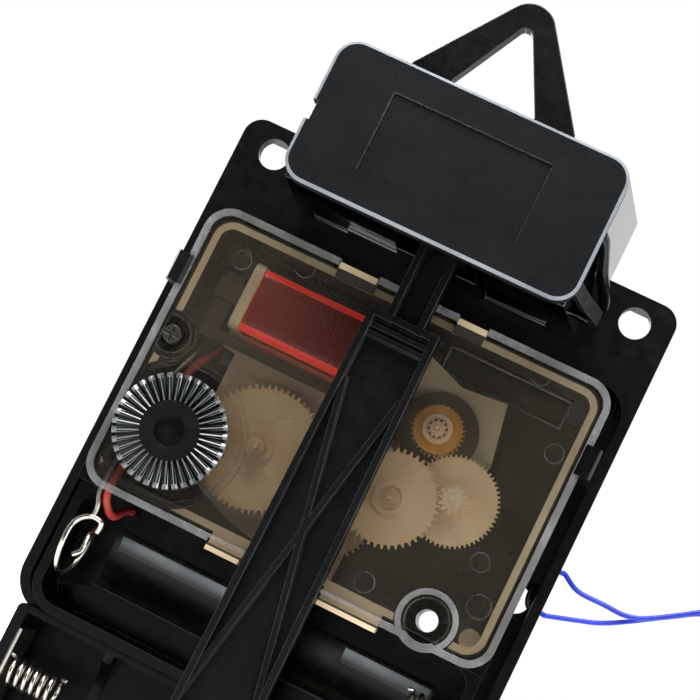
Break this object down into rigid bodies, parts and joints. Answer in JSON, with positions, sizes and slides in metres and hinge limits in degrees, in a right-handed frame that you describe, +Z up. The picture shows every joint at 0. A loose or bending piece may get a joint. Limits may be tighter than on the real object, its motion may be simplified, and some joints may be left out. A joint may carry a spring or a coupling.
{
  "type": "musical pendulum clock movement",
  "caption": "Battery clock movement with a pendulum drive and music contacts: black tray with ears, clear-covered wheel train, setting knob, hanger and swinging arm.",
  "frame": {"origin": "on the axis of the hand shafts, in the plane of the chassis face that seats on the dial", "axes": "+Y along the hand shafts toward the dial side, +Z up toward the hanger as the movement hangs, +X to the right seen from the back"},
  "size_m": [0.1112, 0.0474, 0.1402],
  "materials": {
    "black_plastic": "satin",
    "gloss_black_plastic": "gloss",
    "smoky_cover": "clear gloss",
    "beige_plastic": "satin",
    "cream_plastic": "satin",
    "amber_plastic": "satin",
    "red_winding": "enamelled wire",
    "copper_winding": "enamelled wire",
    "board": "solder mask",
    "chip_black": "resin",
    "steel": "rolled",
    "bright_steel": "nickel plated",
    "brass_bush": "turned",
    "magnet": "ground",
    "blue_insulation": "satin",
    "red_insulation": "satin",
    "plug_plastic": "satin"
  },
  "bodies": {
    "base": {"chassis": "black_plastic", "movement_case": "black_plastic", "movement_cover": "smoky_cover", "train_frame": "beige_plastic", "stator": "steel", "coil_core": "steel", "motor_bobbin": "beige_plastic", "motor_winding": "red_winding", "circuit_board": "board", "quartz_crystal": "bright_steel", "chip": "chip_black", "centre_bush": "brass_bush", "case_screw": "steel", "pendulum_housing": "gloss_black_plastic", "pendulum_lid": "gloss_black_plastic", "hanger": "black_plastic", "drive_bobbin": "plug_plastic", "drive_winding": "copper_winding", "drive_board": "board", "pivot_pin": "bright_steel", "time_wire_contact": "bright_steel", "time_spring": "bright_steel", "music_plate_left": "bright_steel", "music_springs": "bright_steel", "music_plates_right": "bright_steel", "red_lead": "red_insulation", "bare_lead": "steel", "music_board": "board", "music_chip": "chip_black", "speaker_leads_inside": "blue_insulation", "speaker_wire_upper": "blue_insulation", "speaker_wire_lower": "blue_insulation", "wire_coil_upper": "blue_insulation", "wire_coil_lower": "blue_insulation", "wire_tail_upper": "blue_insulation", "wire_tail_lower": "blue_insulation", "wire_ties": "black_plastic", "speaker_plug": "plug_plastic"},
    "pendulum": {"pendulum_arm": "black_plastic", "arm_magnet": "magnet"},
    "rotor_body": {"rotor": "amber_plastic", "rotor_magnet": "magnet"},
    "intermediate": {"intermediate_wheel": "cream_plastic"},
    "drive": {"drive_wheel": "cream_plastic"},
    "seconds": {"seconds_wheel": "cream_plastic"},
    "third": {"third_wheel": "cream_plastic"},
    "centre": {"centre_wheel": "cream_plastic"},
    "minute": {"minute_arbor": "cream_plastic"},
    "minute_work": {"minute_work_wheel": "cream_plastic"},
    "hour": {"hour_wheel": "cream_plastic"},
    "knob": {"set_knob": "black_plastic"}
  },
  "joints": [
    {"name": "pendulum_swing", "type": "hinge", "parent": "base", "child": "pendulum", "pos_m": [0.0008, -0.01885, 0.0436], "axis": [0, 1, 0], "range_deg": [-7, 7]},
    {"name": "drive_turn", "type": "hinge", "parent": "base", "child": "drive", "pos_m": [0.0081, -0.0124, 0.0038], "axis": [0, 1, 0], "continuous": true},
    {"name": "intermediate_turn", "type": "hinge", "parent": "base", "child": "intermediate", "pos_m": [0.01525, -0.0099, 0.00702], "axis": [0, 1, 0], "continuous": true},
    {"name": "rotor_turn", "type": "hinge", "parent": "base", "child": "rotor_body", "pos_m": [0.00967, -0.0099, 0.01421], "axis": [0, 1, 0], "continuous": true},
    {"name": "seconds_turn", "type": "hinge", "parent": "base", "child": "seconds", "pos_m": [0, -0.0113, 0], "axis": [0, 1, 0], "continuous": true},
    {"name": "third_turn", "type": "hinge", "parent": "base", "child": "third", "pos_m": [0.00078, -0.0124, -0.00443], "axis": [0, 1, 0], "continuous": true},
    {"name": "centre_turn", "type": "hinge", "parent": "base", "child": "centre", "pos_m": [0, -0.0085, 0], "axis": [0, 1, 0], "continuous": true},
    {"name": "knob_turn", "type": "hinge", "parent": "base", "child": "knob", "pos_m": [-0.01966, -0.0099, -0.00093], "axis": [0, 1, 0], "continuous": true},
    {"name": "minute_work_turn", "type": "hinge", "parent": "base", "child": "minute_work", "pos_m": [-0.00975, -0.0099, 0.0022], "axis": [0, 1, 0], "continuous": true},
    {"name": "minute_turn", "type": "hinge", "parent": "base", "child": "minute", "pos_m": [0, -0.0099, 0], "axis": [0, 1, 0], "continuous": true},
    {"name": "hour_turn", "type": "hinge", "parent": "base", "child": "hour", "pos_m": [0, -0.0031, 0], "axis": [0, 1, 0], "continuous": true}
  ],
  "couplings": [
    {"joint": "intermediate_turn", "follows": "rotor_turn", "ratio": -0.56897},
    {"joint": "drive_turn", "follows": "rotor_turn", "ratio": 0.15517},
    {"joint": "seconds_turn", "follows": "rotor_turn", "ratio": -0.19951},
    {"joint": "third_turn", "follows": "rotor_turn", "ratio": 0.026601},
    {"joint": "centre_turn", "follows": "rotor_turn", "ratio": -0.0033251},
    {"joint": "minute_work_turn", "follows": "knob_turn", "ratio": -0.28333},
    {"joint": "minute_turn", "follows": "knob_turn", "ratio": 1.2143},
    {"joint": "hour_turn", "follows": "knob_turn", "ratio": 0.10119}
  ]
}
